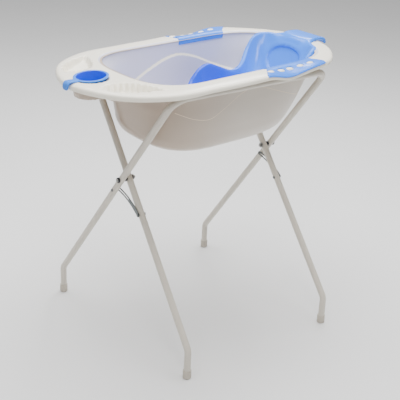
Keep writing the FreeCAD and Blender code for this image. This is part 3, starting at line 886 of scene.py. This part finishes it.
def floor_material():
    colours = (srgb(238, 238, 238), srgb(234, 234, 234))
    return finish_material("floor", *colours, 2, (0.75, 0.85), (60, 0.05))


def dress(piece, material, body):
    """Give a piece its material and the body it moves with."""
    piece.data.materials.clear()
    piece.data.materials.append(material)
    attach(piece, body)


def shade_inside_of_cup(cup, material):
    """Painted shade: deeper blue on the faces inside the cup."""
    cup.data.materials.append(material)
    centre = on_stand([(CUP_X, 0, 0)])[0]
    for face in cup.data.polygons:
        arm = Vector((face.center.x - centre[0], face.center.y - centre[1], 0))
        inward = arm.dot(face.normal) < 0 and arm.length < CUP_R
        bottom = face.normal.z > 0.7 and arm.length < CUP_FOOT_R
        if inward or bottom:
            face.material_index = 1


def dress_cad_nodes(finishes):
    """Node materials for the CAD nodes that stay in view."""
    for name, node in frame["nodes"].items():
        slot = node_slot(name)
        for place in node.material_slots:
            place.material = finishes[slot]


def node_slot(name):
    """Material slot of a CAD node, from its name."""
    rules = (("frame_tube", "frame_paint"), ("foot_cap", "cap_rubber"), ("stay_", "stay_steel"),
             ("pivot_ring", "ring_plastic"), ("pivot_spacer", "ring_plastic"), ("pivot_", "bolt_steel"),
             ("drain_seal", "seal_rubber"), ("drain_", "drain_plastic"), ("grip_", "grip_plastic"),
             ("bath_seat", "seat_plastic"), ("rinse_cup", "cup_plastic"), ("tub_", "tub_plastic"))
    return next(slot for start, slot in rules if start in name)


def make_camera():
    """Long lens from the near left, above the rim."""
    yaw = math.radians(39.796)
    pitch = math.radians(-23.626)
    roll = math.radians(2.818)
    ahead = Vector((math.sin(yaw) * math.cos(pitch), math.cos(yaw) * math.cos(pitch), math.sin(pitch)))
    level = Vector((math.cos(yaw), -math.sin(yaw), 0))
    above = level.cross(ahead)
    right = level * math.cos(roll) + above * math.sin(roll)
    up = above * math.cos(roll) - level * math.sin(roll)
    data = bpy.data.cameras.new("camera")
    data.lens = 83.5
    data.sensor_width = 36
    camera = bpy.data.objects.new("camera", data)
    turn = Matrix((right, up, -ahead)).transposed().to_4x4()
    camera.matrix_world = Matrix.Translation((-1.8315, -2.22635, 1.67497)) @ turn
    bpy.context.scene.collection.objects.link(camera)
    bpy.context.scene.camera = camera


def make_light(name, place, target, size, power):
    """Soft square light aimed at a point."""
    data = bpy.data.lights.new(name, "AREA")
    data.energy = power
    data.size = size
    lamp = bpy.data.objects.new(name, data)
    aim = (Vector(target) - Vector(place)).to_track_quat("-Z", "Y")
    lamp.matrix_world = Matrix.Translation(place) @ aim.to_matrix().to_4x4()
    bpy.context.scene.collection.objects.link(lamp)


def make_studio(floor_finish):
    """Pale floor, white surroundings and soft lights."""
    size = 14.0
    corners = [(-size, -size, 0), (size, -size, 0), (size, size, 0), (-size, size, 0)]
    floor = mesh_object("floor", corners, [(0, 1, 2, 3)])
    floor.data.materials.append(floor_finish)
    world = bpy.data.worlds.new("studio")
    world.use_nodes = True
    background = world.node_tree.nodes["Background"]
    background.inputs["Color"].default_value = (1, 1, 1, 1)
    background.inputs["Strength"].default_value = 0.5
    bpy.context.scene.world = world
    middle = (0, 0, 0.75)
    make_light("overhead", (0.2, 0.3, 3.6), middle, 3.4, 270)
    make_light("key", (-1.2, -1.6, 3.0), middle, 0.7, 26)
    make_light("window", (1.6, 1.4, 2.4), middle, 0.5, 14)


def main():
    grip_blue = blue_plastic("grip_plastic", srgb(56, 132, 244), srgb(50, 124, 240))
    cup_blue = blue_plastic("cup_plastic", srgb(66, 136, 236), srgb(58, 128, 230))
    finishes = {
        "tub_plastic": tub_plastic(), "seat_plastic": seat_plastic(),
        "grip_plastic": grip_blue, "cup_plastic": cup_blue,
        "frame_paint": frame_paint(), "cap_rubber": cap_rubber(), "stay_steel": stay_steel(),
        "bolt_steel": bolt_steel(), "ring_plastic": ring_plastic(), "drain_plastic": drain_plastic(),
        "seal_rubber": seal_rubber(),
    }
    dress_cad_nodes(finishes)
    tub, first_inside, first_under = make_tub()
    dress(tub, finishes["tub_plastic"], "tub")
    shade_zones(tub, first_inside, first_under, tub_inside_shade_and_reflection(), tub_outside_shade())
    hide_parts("tub_shell")
    line_finish = line_shade()
    for side in (-1, 1):
        dress(make_wall_line(side), line_finish, "tub")
        dress(make_bosses(side), finishes["tub_plastic"], "tub")
        grip = make_grip(side)
        dress(grip, finishes["grip_plastic"], "tub")
        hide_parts(f"grip_{side_name(side)}")
    seat = make_seat()
    dress(seat, finishes["seat_plastic"], "seat")
    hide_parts("bath_seat")
    cup = make_cup()
    dress(cup, finishes["cup_plastic"], "cup")
    # painted shade inside the cup
    shade_inside_of_cup(cup, blue_plastic("cup_inside_shade", srgb(16, 66, 222), srgb(12, 58, 214)))
    dress(make_handle(), finishes["cup_plastic"], "cup")
    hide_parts("rinse_cup")
    make_studio(floor_material())
    make_camera()


main()
import json
